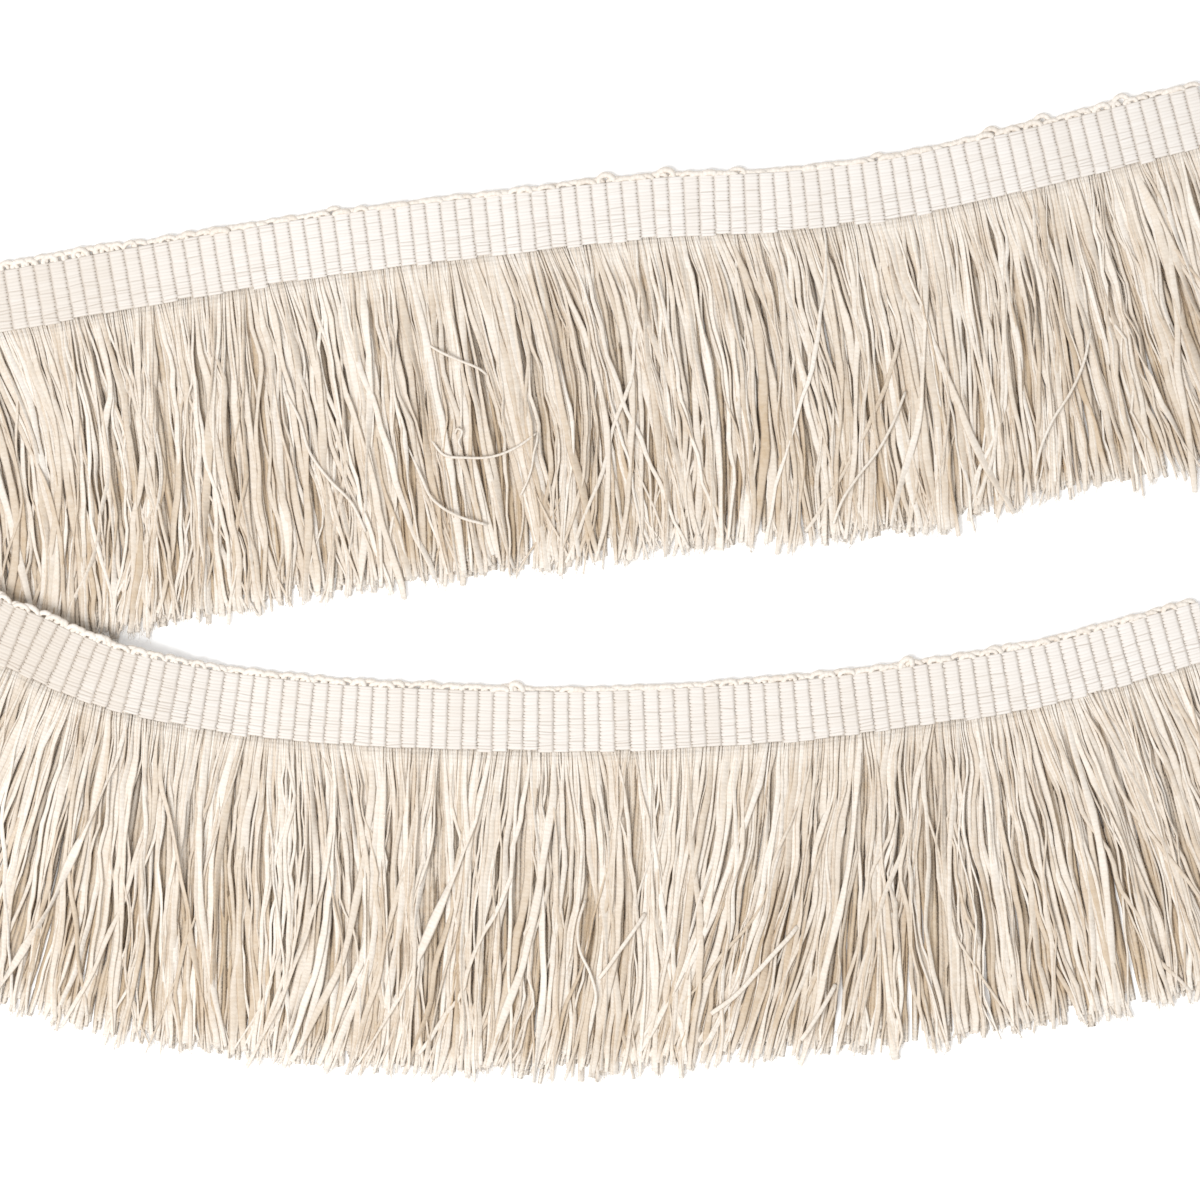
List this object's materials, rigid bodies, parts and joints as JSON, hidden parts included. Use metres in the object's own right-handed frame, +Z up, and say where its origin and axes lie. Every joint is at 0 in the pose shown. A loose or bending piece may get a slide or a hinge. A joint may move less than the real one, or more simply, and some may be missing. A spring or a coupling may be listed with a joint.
{
  "type": "chainette fringe trim",
  "caption": "Cream brush fringe trim: ribbed woven heading with small loops on top and long cut yarns below, lying in two passes with a soft fold at one end.",
  "frame": {"origin": "on the floor, under the middle of the whole trim's box", "axes": "+X along the two passes, towards their cut ends; the fringe points to -Y; +Z up from the floor"},
  "size_m": [0.4476, 0.262, 0.0072],
  "materials": {
    "woven_heading": "matt cream cotton, warp-faced rib weave",
    "chainette_yarn": "matt ecru knitted chainette yarn, cut at the ends"
  },
  "bodies": {
    "root": {"heading_first_pass": "woven_heading", "heading_turn": "woven_heading", "heading_second_pass": "woven_heading", "fringe_upper_right": "chainette_yarn", "fringe_upper_left": "chainette_yarn", "fringe_turn_back": "chainette_yarn", "fringe_turn_side": "chainette_yarn", "fringe_turn_front": "chainette_yarn", "fringe_lower_left": "chainette_yarn", "fringe_lower_middle": "chainette_yarn", "fringe_lower_right": "chainette_yarn"}
  },
  "joints": []
}
